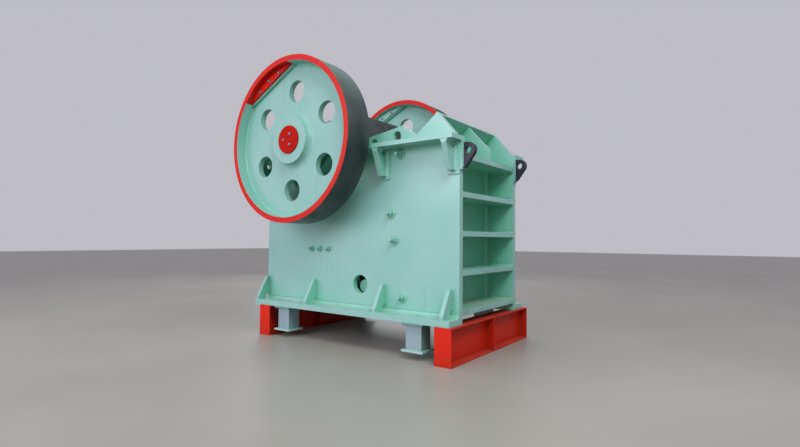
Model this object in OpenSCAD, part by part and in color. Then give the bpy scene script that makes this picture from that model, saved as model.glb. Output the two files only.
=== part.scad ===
// Single-toggle jaw crusher standing on two steel beams, in millimetres.
// The floor is z = 0. +X points out of the ribbed front wall and +Y to the right of someone
// who faces that wall. The origin is on the floor, under the middle of the whole machine.
// Inside the modules x = 0 is the front plane of the frame, and place() moves it into the frame.

/* [Support beams] */
// Height of each support beam
beam_h = 480; // [420:10:560]
// Width of the beam flanges
beam_w = 240; // [200:10:300]
// Length of each support beam
beam_l = 2420; // [2300:20:2800]
// Thickness of the beam flanges
beam_flange_t = 15; // [10:1:35]
// Thickness of the beam web
beam_web_t = 20; // [12:1:30]
// Thickness of the end plates and of the middle stiffeners
beam_end_t = 12; // [8:1:30]
// How far both beams lie to the right of the centre plane
beam_shift = 45; // [0:5:60]
// Projection of the front beam in front of the frame
beam_front_out = 40; // [0:5:60]
// Distance from the rear end of the frame to the rear beam
beam_rear_in = 140; // [100:10:300]

/* [Frame] */
// Length of the side plates
frame_l = 3700; // [3600:20:4000]
// Width over the side plates
frame_w = 1780; // [1700:10:1900]
// Thickness of the side plates
side_t = 84; // [70:1:95]
// Height of the bearing flange above the beams
shoulder_h = 2405; // [2380:5:2430]
// Height of the feed lip's peak above the bearing flange
peak_h = 364; // [340:2:380]
// Distance of the peak behind the frame front
peak_back = 338; // [320:2:350]
// Distance of the peak bevel's foot behind the frame front
bevel_back = 27; // [15:1:60]
// Distance of the notch behind the frame front
notch_back = 676; // [660:2:700]
// Height of the notch above the bearing flange
notch_h = 91; // [70:1:110]
// Distance of the ear's apex behind the frame front
ear_apex_back = 910; // [880:2:940]
// Height of the ear's apex above the bearing flange
ear_apex_h = 250; // [220:2:270]
// Distance of the ear's rear end behind the frame front
ear_rear_back = 1860; // [1800:5:1880]
// Height of the ear's rear end above the bearing flange
ear_rear_h = 95; // [60:1:120]
// Diameter of the two holes in each ear
ear_hole_d = 126; // [90:2:140]
// Projection of the nose that carries the lifting lug
nose_out = 33; // [10:1:40]
// Height of the nose
nose_h = 425; // [380:5:460]
// Diameter of the round inspection hole at the toggle
toggle_hole_d = 270; // [220:5:300]

/* [Base flanges] */
// Thickness of the base flanges
base_t = 80; // [60:1:100]
// Projection of the base flanges beyond the side plates
base_out = 255; // [240:5:300]
// Radius of the cove between base flange and side plate
base_cove_r = 50; // [30:5:80]
// Height of the base gussets
gusset_h = 368; // [300:4:420]
// Projection of the base gussets
gusset_out = 235; // [200:5:245]
// Thickness of the base gussets
gusset_t = 60; // [40:1:70]
// Width of the gussets at their narrow end
gusset_tip = 62; // [30:1:80]
// Height of the square toe of the base gussets
gusset_toe = 50; // [30:1:70]
// Radius of the cut-out in the inner corner of the gussets
snipe_r = 100; // [80:1:120]
// Diameter of the anchor holes
anchor_d = 76; // [50:1:90]
// Distance of the second gusset's front face behind the frame front
gusset_2_back = 1175; // [1100:5:1250]
// Distance of the third gusset's front face from the rear end of the frame
gusset_3_rear = 1170; // [1100:5:1250]
// Distance of the front gusset's front face behind the frame front
gusset_1_back = 97; // [60:1:160]

/* [Bearing flanges] */
// Thickness of the bearing flanges
flange_t = 60; // [45:1:75]
// Height of the brackets under the bearing flanges
bracket_h = 380; // [340:5:420]
// Width of the brackets at their foot
bracket_toe = 117; // [90:1:130]
// Height of the straight outer edge of the brackets
bracket_edge = 45; // [20:1:70]
// Thickness of the brackets
bracket_t = 70; // [55:1:90]
// Radius of the coves between the brackets and the bearing flange
bracket_cove_r = 50; // [25:1:60]
// Thickness of the pads between the brackets and the side plate
bracket_pad_t = 20; // [10:1:40]
// Reach of those pads in front of the brackets
bracket_pad_out = 58; // [40:1:70]
// Reach of those pads behind the brackets
bracket_pad_rear = 32; // [20:1:60]
// Radius of the coves between the brackets and their pads
bracket_fillet_r = 30; // [10:1:32]
// Reach of those pads below the brackets
bracket_pad_low = 40; // [20:1:60]
// Diameter of the round hole in the inner corner of each bracket
bracket_hole_d = 86; // [60:1:90]
// Distance of the front bracket behind the frame front
bracket_front_back = 60; // [50:1:90]
// Distance of the second bracket's front face behind the frame front
bracket_2_back = 1165; // [1130:5:1220]
// Gap between the band under the housing and the bracket behind it
bracket_saddle_gap = 40; // [20:5:60]

/* [Front wall] */
// Depth of the bays in front of the wall
bay_depth = 470; // [440:5:490]
// Thickness of the front wall
wall_t = 75; // [60:1:90]
// Thickness of the horizontal ribs
rib_t = 70; // [55:1:85]
// Number of horizontal ribs
rib_n = 5; // [4:1:6]
// Height of the lowest rib's top above the beams
rib_low_h = 180; // [165:5:200]
// Distance from the highest rib's top to the bearing flange
rib_top_drop = 195; // [180:5:210]
// Radius of the cut-out in the back corners of the ribs
rib_snipe_r = 75; // [66:1:90]
// Radius of the coves in the upright corners between front wall and side plates
wall_cove_r = 58; // [20:1:60]
// Radius of the coves between the ribs and the side plates
rib_cove_r = 32; // [10:1:40]
// Thickness of the feed lip plate
lip_t = 35; // [25:1:45]
// Thickness of the gusset under the feed lip
lip_gusset_t = 50; // [35:1:60]
// Height of the gusset's front edge above the highest rib
lip_gusset_front = 145; // [120:5:170]

/* [Rear wall] */
// Depth of the bays behind the rear wall
rear_bay_depth = 350; // [300:5:360]
// Thickness of the rear wall
rear_wall_t = 70; // [50:1:80]
// Height of the rear wall's top above the beams
rear_wall_h = 1720; // [1710:5:1800]

/* [Lifting lugs] */
// Thickness of the lifting lugs
lug_t = 68; // [55:1:70]
// Distance of the lugs' outer faces inside the side plate's face
lug_in = 22; // [0:1:50]
// Radius of the round end of the lugs
lug_r = 98; // [90:1:120]
// Distance of the lug's eye in front of the frame
lug_eye_out = 103; // [100:1:130]
// Drop of the eye below the bearing flange
lug_eye_drop = 180; // [150:5:200]
// Diameter of the eye
lug_eye_d = 92; // [80:2:110]
// Width of the lug's lower end
lug_foot = 28; // [20:1:60]

/* [Chamber] */
// Depth of the feed opening at the top
gape = 1170; // [1150:10:1240]
// Width of the discharge opening at the bottom
discharge = 180; // [160:5:250]
// Height of the chamber's bottom above the beams
chamber_low = 280; // [250:5:300]
// Thickness of the fixed and moving jaw plates
jaw_plate_t = 130; // [110:1:150]
// Depth of the vertical ridges of the jaw plates
ridge_h = 42; // [25:1:55]
// Number of ridges across a jaw plate
ridge_n = 12; // [10:1:16]
// Thickness of the cheek plates
cheek_t = 40; // [30:1:50]
// Height above the beams where the lower cheek plate meets the upper one
cheek_split = 1160; // [1120:10:1200]
// Gap between the swing jaw and each cheek plate
jaw_side_gap = 15; // [10:1:20]

/* [Swing jaw] */
// Outer radius of the swing jaw's head
head_r = 460; // [450:1:475]
// Thickness of the slab behind the moving jaw plate
jaw_slab_t = 110; // [90:1:130]
// Thickness of the webs on the back of the swing jaw
jaw_web_t = 70; // [50:1:90]
// Number of webs on the back of the swing jaw
jaw_web_n = 5; // [4:1:7]
// Thickness of the head guard plate
guard_t = 50; // [40:1:60]
// Overlap of the guard over the moving jaw plate
guard_lap = 50; // [30:1:60]
// Height of the guard plate
guard_h = 820; // [780:10:840]

/* [Toggle] */
// Distance of the toggle's front end behind the frame front
toggle_front_back = 1730; // [1710:5:1760]
// Height of the toggle's front end above the beams
toggle_front_h = 420; // [400:5:440]
// Radius of the toggle plate's round ends
toggle_r = 60; // [50:1:65]
// Thickness of the toggle plate
toggle_t = 80; // [60:1:95]
// Length of the toggle plate across the machine
toggle_l = 1300; // [1200:10:1360]
// Open gap between the toggle's front end and its seat on the swing jaw
toggle_gap = 34; // [30:1:50]
// Depth of the groove that forms this seat
toggle_groove = 22; // [10:1:30]
// Height of the toggle beam
toggle_beam_h = 360; // [320:5:400]
// Depth of the toggle beam
toggle_beam_w = 500; // [440:5:560]
// Distance of the toggle beam's middle behind the frame front
toggle_beam_back = 2496; // [2470:2:2530]
// Height of the toggle beam's middle above the beams
toggle_beam_z = 930; // [900:5:960]

/* [Tension rods] */
// Diameter of the tension rods
rod_d = 80; // [60:1:90]
// Distance between the two rods
rod_spacing = 600; // [500:10:700]
// Rise of the rods towards the rear in degrees
rod_tilt = 5.7; // [5:0.1:6.5]
// Projection of the rods behind the frame
rod_out = 300; // [280:5:400]
// Diameter of the jaw's rod pin
rod_pin_d = 90; // [70:1:100]
// Open gap between that pin and the rod's eye
rod_pin_gap = 32; // [30:1:40]
// Wall of the rod's eye
rod_eye_wall = 40; // [30:1:50]
// Number of disc springs on each rod
disc_n = 10; // [6:1:12]
// Outer diameter of the disc springs
disc_d = 180; // [150:2:190]
// Thickness of a disc spring
disc_t = 12; // [8:1:14]
// Cone height of a disc spring
disc_cone = 12; // [6:1:14]

/* [Shaft and bearings] */
// Distance of the shaft behind the frame front
shaft_back = 2470; // [2440:2:2500]
// Height of the shaft above the bearing flange
shaft_rise = 123; // [100:1:140]
// Throw of the eccentric
throw_e = 22; // [16:1:25]
// Diameter of the main journals
journal_d = 380; // [340:2:390]
// Diameter of the eccentric
eccentric_d = 440; // [436:1:460]
// Diameter of the shaft in the flywheel hubs
hub_bore_d = 340; // [300:2:360]
// Outer radius of the bearing housings
housing_r = 400; // [380:1:410]
// Thickness of the band that carries each housing
saddle_t = 60; // [45:1:70]
// Length of the housing's lugs from the shaft
housing_lug = 560; // [530:5:580]
// Thickness of the housing's lugs
housing_lug_t = 120; // [90:2:140]
// Radius of the seal ring outside each housing
seal_r = 260; // [230:2:280]
// Length of the seal ring
seal_l = 81; // [70:1:100]

/* [Flywheels] */
// Outer diameter of the flywheels
wheel_d = 2440; // [2300:10:2500]
// Width of the rim
wheel_w = 440; // [400:5:460]
// Radial thickness of the rim
rim_t = 78; // [70:1:95]
// Thickness of the web
web_t = 90; // [70:1:110]
// Gap between the bearing flange and the flywheel
wheel_gap = 39; // [30:1:80]
// Radius of the hub
hub_r = 350; // [320:5:370]
// Length of the hub
hub_l = 304; // [290:2:320]
// Radius of the fillet between hub and web
hub_fillet = 90; // [20:1:100]
// Radius of the fillet between rim and web
rim_fillet = 25; // [15:1:50]
// Number of round holes in the web
hole_n = 6; // [4:1:8]
// Diameter of the round holes
hole_d = 326; // [280:2:340]
// Radius of the circle on which the holes lie
hole_circle_r = 735; // [720:5:750]
// Angle of the first hole from the front direction
hole_start = 87; // [60:1:100]
// Radius of the end caps
cap_r = 205; // [190:1:230]
// Thickness of the end caps
cap_t = 20; // [12:1:28]
// Angle of the counterweight pocket from the front direction
weight_angle = 117; // [100:1:130]
// Distance of the pocket's chord from the shaft
weight_chord = 1014; // [990:2:1030]
// Thickness of the chord rib
chord_rib_t = 20; // [15:1:35]
// Height of the chord rib above the web
chord_rib_h = 53; // [40:1:80]
// Thickness of the counterweights
weight_t = 85; // [50:1:95]
// Number of belt grooves in the right flywheel
groove_n = 11; // [8:1:11]
// Distance between the belt grooves
groove_pitch = 37; // [30:1:38]
// Depth of the belt grooves
groove_h = 30; // [20:1:34]

/* [Feet] */
// Width of the foot tubes along the machine
foot_w = 245; // [220:5:280]
// Width of the foot tubes across the machine
foot_d = 215; // [200:5:250]
// Wall of the foot tubes
foot_wall = 14; // [10:1:20]
// Projection of the foot plates beyond the tubes
foot_plate_out = 45; // [30:5:60]
// Thickness of the foot plates
foot_plate_t = 25; // [16:1:35]
// Height of the feet
foot_h = 380; // [320:5:400]
// Distance of the front feet behind the frame front
foot_front_back = 575; // [540:5:620]
// Distance of the rear feet from the rear end of the frame
foot_rear_in = 610; // [560:5:650]
// Distance of the feet's middle outside the side plates
foot_out = 72; // [60:1:80]

/* [Fits] */
// Radial running clearance of the shaft
run_gap = 0.08; // [0.05:0.01:0.1]
// Radial clearance between the eccentric and the swing jaw's bore
jaw_bore_gap = 0.4; // [0.3:0.1:0.5]
// Seating clearance between curved faces
seat_gap = 0.3; // [0.1:0.1:0.5]

/* [Hidden] */
$fn = 96;

mint = [0.52, 0.74, 0.68];
signal_red = [0.80, 0.10, 0.04];
beam_red = [0.85, 0.20, 0.08];
charcoal = [0.14, 0.16, 0.17];
manganese = [0.30, 0.31, 0.32];
steel = [0.62, 0.66, 0.70];

// Frame levels and planes
half_w = frame_w / 2;
inner_w = half_w - side_t;
shoulder_z = beam_h + shoulder_h;
base_top = beam_h + base_t;
rib_low_z = beam_h + rib_low_h;
rib_high_z = shoulder_z - rib_top_drop;
rib_pitch = (rib_high_z - rib_low_z) / (rib_n - 1);
wall_low_z = rib_low_z - rib_t;
notch_z = shoulder_z + notch_h;
peak_z = shoulder_z + peak_h;
rear_wall_x = -frame_l + rear_bay_depth;

// Feed lip: its upper face runs from the notch to the peak
lip_run = notch_back - peak_back;
lip_rise = peak_z - notch_z;
lip_angle = atan2(lip_rise, lip_run);
function lip_under_z(x) = notch_z + (x + notch_back) * tan(lip_angle) - (lip_t + seat_gap) / cos(lip_angle);

// Shaft and wheels
shaft_x = -shaft_back;
shaft_z = shoulder_z + shaft_rise;
housing_end = half_w + base_out;
wheel_in = housing_end + wheel_gap;
wheel_mid = wheel_in + wheel_w / 2;
hub_end = wheel_mid + hub_l / 2;
wheel_r = wheel_d / 2;
rim_in_r = wheel_r - rim_t;
pin_angle = weight_angle - 180;
rest_shift = [throw_e * cos(pin_angle), 0, throw_e * sin(pin_angle)];

// Chamber: the moving plate's face runs from its lower point up to the feed opening
fixed_face_x = -(bay_depth + wall_t + jaw_plate_t);
face_low = [fixed_face_x - discharge, beam_h + chamber_low];
face_top = [fixed_face_x - gape, shoulder_z - 5];
face_run = face_low[0] - face_top[0];
face_rise = face_top[1] - face_low[1];
face_tilt = atan2(face_run, face_rise);
face_l = norm([face_run, face_rise]);
jaw_half_w = inner_w - cheek_t - jaw_side_gap;
// Point of the XZ plane that lies h up the moving plate's face and d behind it
function face_point(h, d) = [face_low[0] - h * sin(face_tilt) - d * cos(face_tilt),
                             face_low[1] + h * cos(face_tilt) - d * sin(face_tilt)];

// Toggle: seat on the jaw, both ends of the toggle plate, and the beam behind it
toggle_front = [-toggle_front_back, beam_h + toggle_front_h];
boss_x = toggle_front[0] + toggle_r + toggle_gap - toggle_groove;
boss_half_h = 100;
beam_face_x = -toggle_beam_back + toggle_beam_w / 2;
beam_low_z = beam_h + toggle_beam_z - toggle_beam_h / 2;
seat_out = 105;
toggle_rear = [beam_face_x + seat_out, beam_low_z + toggle_r];
toggle_run = toggle_front - toggle_rear;
toggle_dir = toggle_run / norm(toggle_run);
toggle_normal = [-toggle_dir[1], toggle_dir[0]];

// Tension rods
rod_pin_back = 1500;
rod_pin_h = 125;
rod_pin = [-rod_pin_back, beam_h + rod_pin_h];
rod_eye_in = rod_pin_d / 2 + rod_pin_gap;
rod_eye_out = rod_eye_in + rod_eye_wall;
rod_end_x = -frame_l - rod_out;
rod_l = (rod_pin[0] - rod_end_x) / cos(rod_tilt);
rod_rear_corner = rod_end_x - rod_d / 2 * sin(rod_tilt);
nut_l = 60;
rod_wall_run = (rod_pin[0] - rear_wall_x) / cos(rod_tilt);

// The whole machine reaches from the rods' ends to the lifting lugs
lug_reach = lug_eye_out + lug_r;
front_x = (-rod_rear_corner - lug_reach) / 2;

// Feet and anchor holes
foot_y = half_w + foot_out;
foot_rear_back = frame_l - foot_rear_in;

module place() translate([front_x, 0, 0]) children();

// Outline in the XZ plane, extruded from y0 over t towards +Y
module slab_y(y0, t) translate([0, y0 + t, 0]) rotate([90, 0, 0]) linear_extrude(t) children();

// Outline in the YZ plane, extruded from x0 over t towards +X
module slab_x(x0, t) translate([x0, 0, 0]) rotate([90, 0, 90]) linear_extrude(t) children();

// Round bar along Y at a point of the XZ plane
module bar_y(point, r, y0, y1) translate([point[0], y0, point[1]]) rotate([-90, 0, 0]) cylinder(h = y1 - y0, r = r);

// The same on the right side as on the left
module right() mirror([0, 1, 0]) children();

module support_beam(x0) color(beam_red) place() translate([x0, beam_shift - beam_l / 2, 0]) {
    web_h = beam_h - 2 * beam_flange_t;
    cube([beam_w, beam_l, beam_flange_t]);
    translate([0, 0, beam_h - beam_flange_t]) cube([beam_w, beam_l, beam_flange_t]);
    translate([(beam_w - beam_web_t) / 2, 0, beam_flange_t]) cube([beam_web_t, beam_l, web_h]);
    for (y = [0, (beam_l - beam_end_t) / 2, beam_l - beam_end_t])
        translate([0, y, beam_flange_t]) cube([beam_w, beam_end_t, web_h]);
}

module foot(back, side) color(steel) place() translate([-back, side * foot_y, beam_h - foot_h]) {
    tube_h = foot_h - 2 * foot_plate_t;
    difference() {
        union() {
            for (z = [0, foot_plate_t + tube_h]) translate([-foot_w / 2 - foot_plate_out, -foot_d / 2 - foot_plate_out, z])
                cube([foot_w + 2 * foot_plate_out, foot_d + 2 * foot_plate_out, foot_plate_t]);
            translate([-foot_w / 2, -foot_d / 2, foot_plate_t]) cube([foot_w, foot_d, tube_h]);
        }
        translate([foot_wall - foot_w / 2, foot_wall - foot_d / 2, foot_plate_t])
            cube([foot_w - 2 * foot_wall, foot_d - 2 * foot_wall, tube_h]);
        translate([0, 0, foot_plate_t + tube_h - 1]) cylinder(h = foot_plate_t + 2, d = anchor_d);
    }
}

module side_outline() polygon([
    [0, beam_h], [0, shoulder_z - nose_h], [nose_out, shoulder_z - nose_h], [nose_out, shoulder_z],
    [-bevel_back, shoulder_z], [-peak_back, peak_z], [-notch_back, notch_z],
    [-ear_apex_back, shoulder_z + ear_apex_h], [-ear_rear_back, shoulder_z + ear_rear_h],
    [-ear_rear_back, shoulder_z], [-frame_l, shoulder_z], [-frame_l, beam_h]]);

module side_plate() color(mint) place() difference() {
    slab_y(-half_w, side_t) side_outline();
    bar_y([shaft_x, shaft_z], housing_r + seat_gap, -half_w - 1, -inner_w + 1);
    bar_y(toggle_inspection, toggle_hole_d / 2, -half_w - 1, -inner_w + 1);
    for (hole = ear_holes) {
        for (height = [ear_hole_low, hole[1]])
            bar_y([hole[0], shoulder_z + height], ear_hole_d / 2, -half_w - 1, -inner_w + 1);
        translate([hole[0] - ear_hole_d / 2, -half_w - 1, shoulder_z + ear_hole_low])
            cube([ear_hole_d, side_t + 2, hole[1] - ear_hole_low]);
    }
}

toggle_inspection = [-1644, toggle_front[1] + 6];
ear_hole_low = 55;
ear_holes = [[-992, 123], [-1400, 57]];

// Triangular plate in the YZ plane with its inner corner at the side plate, mirrored for brackets
module gusset_outline(out, h, toe, tip) polygon([[0, 0], [-out, 0], [-out, toe], [-tip, h], [0, h]]);

module base_gusset(x0) slab_x(x0, gusset_t) translate([-half_w, base_top]) difference() {
    gusset_outline(gusset_out, gusset_h, gusset_toe, gusset_tip);
    circle(r = snipe_r);
}

gusset_fronts = [-gusset_1_back, -gusset_2_back, gusset_3_rear - frame_l, gusset_t - frame_l];
gusset_places = [for (x = gusset_fronts) x - gusset_t];

module base_flange() color(mint) place() difference() {
    union() {
        translate([-frame_l, -half_w - base_out, beam_h]) cube([frame_l, base_out, base_t]);
        difference() {
            translate([-frame_l, -half_w - base_cove_r, base_top]) cube([frame_l, base_cove_r, base_cove_r]);
            translate([-frame_l - 1, -half_w - base_cove_r, base_top + base_cove_r]) rotate([0, 90, 0])
                cylinder(h = frame_l + 2, r = base_cove_r);
        }
        for (x = gusset_places) base_gusset(x);
    }
    for (back = [foot_front_back, foot_rear_back])
        translate([-back, -foot_y, beam_h - 1]) cylinder(h = base_t + base_cove_r + 2, d = anchor_d);
}

module bracket(x0, t) slab_x(x0, t) translate([-half_w, shoulder_z - flange_t]) mirror([0, 1])
    gusset_outline(base_out - 5, bracket_h, bracket_edge, bracket_toe);

module bracket_cove(x0, side) translate([x0, -half_w - base_out + 5, shoulder_z - flange_t]) difference() {
    translate([side < 0 ? -bracket_cove_r : 0, 0, -bracket_cove_r])
        cube([bracket_cove_r, base_out - 5, bracket_cove_r]);
    translate([side * bracket_cove_r, -1, -bracket_cove_r]) rotate([-90, 0, 0])
        cylinder(h = base_out, r = bracket_cove_r);
}

bracket_low_z = shoulder_z - flange_t - bracket_h;

module bracket_fillet(x0, side) translate([x0, -half_w - bracket_pad_t, bracket_low_z]) difference() {
    translate([side < 0 ? -bracket_fillet_r : -1, -bracket_fillet_r, 0])
        cube([bracket_fillet_r + 1, bracket_fillet_r + 1, bracket_h]);
    translate([side * bracket_fillet_r, -bracket_fillet_r, -1]) cylinder(h = bracket_h + 2, r = bracket_fillet_r);
}

module bracket_on_pad(front) {
    rear = min(bracket_pad_rear, front - bracket_t + frame_l);
    bracket(front - bracket_t, bracket_t);
    bracket_cove(front, 1);
    bracket_fillet(front, 1);
    if (rear > 0) {
        bracket_cove(front - bracket_t, -1);
        bracket_fillet(front - bracket_t, -1);
    }
    translate([front - bracket_t - rear, -half_w - bracket_pad_t, bracket_low_z - bracket_pad_low])
        cube([bracket_t + bracket_pad_out + rear, bracket_pad_t, bracket_h + bracket_pad_low]);
}

// Middle of the round hole, out from the side plate and down from the flange
bracket_hole = [72, 48];

module bracket_hole_cut(back) translate([-back - bracket_t - bracket_cove_r - 1, -half_w - bracket_hole[0],
                                         shoulder_z - flange_t - bracket_hole[1]])
    rotate([0, 90, 0]) cylinder(h = bracket_t + 2 * bracket_cove_r + 2, d = bracket_hole_d);

bracket_backs = [bracket_front_back, bracket_2_back, shaft_back + housing_r + saddle_t + bracket_saddle_gap, frame_l - bracket_t];

module bearing_flange() color(mint) place() difference() {
    union() {
        translate([-frame_l, -housing_end, shoulder_z - flange_t]) cube([frame_l + nose_out, base_out, flange_t]);
        for (back = bracket_backs) bracket_on_pad(-back);
        intersection() {
            bar_y([shaft_x, shaft_z], housing_r + saddle_t, -housing_end, -half_w);
            translate([shaft_x - 2 * housing_r, -housing_end, shoulder_z - 2 * housing_r])
                cube([4 * housing_r, base_out, 2 * housing_r]);
        }
    }
    bar_y([shaft_x, shaft_z], housing_r + seat_gap, -housing_end - 1, -half_w + 1);
    for (back = bracket_backs) bracket_hole_cut(back);
}

module bearing_housing() color(mint) place() difference() {
    union() {
        bar_y([shaft_x, shaft_z], housing_r, -housing_end, -inner_w);
        translate([shaft_x - housing_lug, -housing_end, shoulder_z])
            cube([2 * housing_lug, housing_end - inner_w, housing_lug_t]);
        bar_y([shaft_x, shaft_z], seal_r, -housing_end - seal_l, -housing_end);
    }
    bar_y([shaft_x, shaft_z], journal_d / 2 + run_gap, -housing_end - seal_l - 1, -inner_w + 1);
}

lug_mid_y = -half_w + lug_in + lug_t / 2;
lug_eye = [lug_eye_out, shoulder_z - lug_eye_drop];
lug_low = [nose_out + lug_foot, shoulder_z - nose_h + 20];
lug_reach_vec = lug_low - lug_eye;
lug_tangent_angle = atan2(lug_reach_vec[1], lug_reach_vec[0]) + acos(lug_r / norm(lug_reach_vec));
lug_tangent = lug_eye + lug_r * [cos(lug_tangent_angle), sin(lug_tangent_angle)];

module lifting_lug() color(charcoal) place() slab_y(lug_mid_y - lug_t / 2, lug_t) difference() {
    union() {
        translate(lug_eye) circle(r = lug_r);
        polygon([[nose_out, lug_low[1]], lug_low, lug_tangent, lug_eye,
                 [lug_eye[0], lug_eye[1] + lug_r], [nose_out, lug_eye[1] + lug_r]]);
    }
    translate(lug_eye) circle(d = lug_eye_d);
    translate([nose_out - lug_r, lug_eye[1] - lug_r]) square([lug_r, 2 * lug_r]);
}

module front_wall() color(mint) place() {
    slab_y(-inner_w, 2 * inner_w) polygon([
        [-bay_depth, wall_low_z], [-bay_depth, lip_under_z(-bay_depth)],
        [-bay_depth - wall_t, lip_under_z(-bay_depth - wall_t)], [-bay_depth - wall_t, ledge_z],
        [fixed_face_x, ledge_z], [fixed_face_x, wall_low_z]]);
    for (side = [-1, 1]) scale([1, side, 1]) wall_cove();
}

ledge_z = wall_low_z + 50;
wall_cove_h = lip_under_z(-bay_depth) - 10 - wall_low_z;

module wall_cove() translate([-bay_depth, inner_w - wall_cove_r, wall_low_z]) difference() {
    translate([-1, 0, 0]) cube([wall_cove_r + 1, wall_cove_r, wall_cove_h]);
    translate([wall_cove_r, 0, -1]) cylinder(h = wall_cove_h + 2, r = wall_cove_r);
}

// Cross-section of a rib in the YZ plane: its top is z = 0, and coves join it to the side plates
module rib_section() {
    translate([-inner_w, -rib_t]) square([2 * inner_w, rib_t]);
    for (side = [-1, 1], face = [-1, 1]) translate([side * inner_w, face > 0 ? 0 : -rib_t]) scale([-side, face])
        difference() {
            translate([0, -1]) square([rib_cove_r, rib_cove_r + 1]);
            translate([rib_cove_r, rib_cove_r]) circle(r = rib_cove_r);
        }
}

module rib(x0, l, top) slab_x(x0, l) translate([0, top]) rib_section();

module front_rib(i) color(mint) place() difference() {
    rib(-bay_depth, bay_depth, rib_high_z - (i - 1) * rib_pitch);
    for (side = [-1, 1])
        translate([-bay_depth, side * inner_w, beam_h]) cylinder(h = shoulder_z, r = rib_snipe_r);
}

module feed_lip() color(mint) place() slab_y(-inner_w, 2 * inner_w) translate([-notch_back, notch_z])
    rotate(lip_angle) translate([0, -lip_t]) square([norm([lip_run, lip_rise]), lip_t]);

// The gusset's sloping edge runs from its front edge up to the feed lip
lip_gusset_slope = 1.097;
lip_gusset_top_x = (lip_under_z(0) - rib_high_z - lip_gusset_front) / (-lip_gusset_slope - tan(lip_angle));

module feed_lip_gusset() color(mint) place() slab_y(-lip_gusset_t / 2, lip_gusset_t) polygon([
    [-bay_depth, rib_high_z], [0, rib_high_z], [0, rib_high_z + lip_gusset_front],
    [lip_gusset_top_x, lip_under_z(lip_gusset_top_x)], [-bay_depth, lip_under_z(-bay_depth)]]);

module rod_line(r, s0, s1, side) translate([rod_pin[0], side * rod_spacing / 2, rod_pin[1]])
    rotate([0, -90 + rod_tilt, 0]) translate([0, 0, s0]) cylinder(h = s1 - s0, r = r);

module rear_wall() color(mint) place() difference() {
    translate([rear_wall_x, -inner_w, wall_low_z]) cube([rear_wall_t, 2 * inner_w, beam_h + rear_wall_h - wall_low_z]);
    for (side = [-1, 1]) rod_line(rod_d / 2 + 12, rod_wall_run - 300, rod_wall_run + 300, side);
}

module rear_ribs() color(mint) place() for (i = [0 : rib_n - 2]) difference() {
    rib(-frame_l, rear_bay_depth, rib_low_z + i * rib_pitch);
    for (side = [-1, 1])
        translate([rear_wall_x, side * inner_w, beam_h]) cylinder(h = shoulder_z, r = rib_snipe_r);
}

// Jaw plate with upright ridges: x = 0 is their crest, the plate's back lies at -jaw_plate_t
module ridged_plate(half, n, l) linear_extrude(l) polygon(concat(
    [[-jaw_plate_t, -half]],
    [for (i = [0 : n - 1], k = [0 : 3])
        [(k == 0 || k == 3) ? -ridge_h : 0, -half + (i + [0, 0.3, 0.7, 1][k]) * 2 * half / n]],
    [[-jaw_plate_t, half]]));

fixed_plate_top = lip_under_z(fixed_face_x) - 15;

module fixed_jaw_plate() color(manganese) place() translate([fixed_face_x, 0, ledge_z]) mirror([1, 0, 0])
    ridged_plate(inner_w - 2, ridge_n, fixed_plate_top - ledge_z);

cheek_gap = 10;
upper_cheek_low = beam_h + cheek_split + cheek_gap / 2;
lower_cheek_top = beam_h + cheek_split - cheek_gap / 2;
lower_cheek_low = face_low[1] - 110;
cheek_back = 105;
// X of the cheek plates' rear edge, which follows the moving plate's face
function cheek_rear_x(z) = face_low[0] - (z - face_low[1]) * tan(face_tilt) - cheek_back;

module cheek_outline(z0, z1) polygon([[fixed_face_x - seat_gap, z0], [fixed_face_x - seat_gap, z1],
                                      [cheek_rear_x(z1), z1], [cheek_rear_x(z0) - cheek_back, z0]]);

module cheek_plates() color(manganese) place() slab_y(-inner_w, cheek_t) {
    cheek_outline(upper_cheek_low, face_top[1]);
    cheek_outline(lower_cheek_low, lower_cheek_top);
}

module toggle_beam() color(mint) place() translate([beam_face_x - toggle_beam_w, -inner_w, beam_low_z])
    cube([toggle_beam_w, 2 * inner_w, toggle_beam_h]);

seat_half = 95;
seat_low = toggle_rear - seat_half * toggle_normal;
seat_high = toggle_rear + seat_half * toggle_normal;

module toggle_seat() color(manganese) place() slab_y(-toggle_l / 2 - 30, toggle_l + 60) difference() {
    polygon([[beam_face_x, beam_low_z + 10], [max(beam_face_x, seat_low[0]), seat_low[1]], seat_high,
             [seat_high[0], beam_low_z + toggle_beam_h - 40], [beam_face_x, beam_low_z + toggle_beam_h - 40]]);
    translate(toggle_rear) circle(r = toggle_r + seat_gap);
}

module toggle_plate() color(charcoal) place() slab_y(-toggle_l / 2, toggle_l) {
    translate(toggle_front) circle(r = toggle_r);
    translate(toggle_rear) circle(r = toggle_r);
    translate(toggle_rear) rotate(atan2(toggle_dir[1], toggle_dir[0])) translate([0, -toggle_t / 2])
        square([norm(toggle_run), toggle_t]);
}

disc_pack_l = disc_n * (disc_t + disc_cone);

module tension_rods() color(steel) place() for (side = [-1, 1]) difference() {
    union() {
        bar_y(rod_pin, rod_eye_out, side * rod_spacing / 2 - 35, side * rod_spacing / 2 + 35);
        rod_line(rod_d / 2, rod_eye_in + 5, rod_l, side);
        rod_line(disc_d / 2, rod_wall_run + washer_in + disc_pack_l, rod_wall_run + washer_in + disc_pack_l + 20, side);
        rod_line(rod_d * 0.85, rod_wall_run + washer_in + disc_pack_l + 20,
                 rod_wall_run + washer_in + disc_pack_l + 20 + nut_l, side, $fn = 6);
    }
    bar_y(rod_pin, rod_eye_in, side * rod_spacing / 2 - 36, side * rod_spacing / 2 + 36);
}

// The rods slope, so the discs start a little behind the upright wall
washer_in = disc_d / 2 * tan(rod_tilt) + 0.5;

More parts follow.
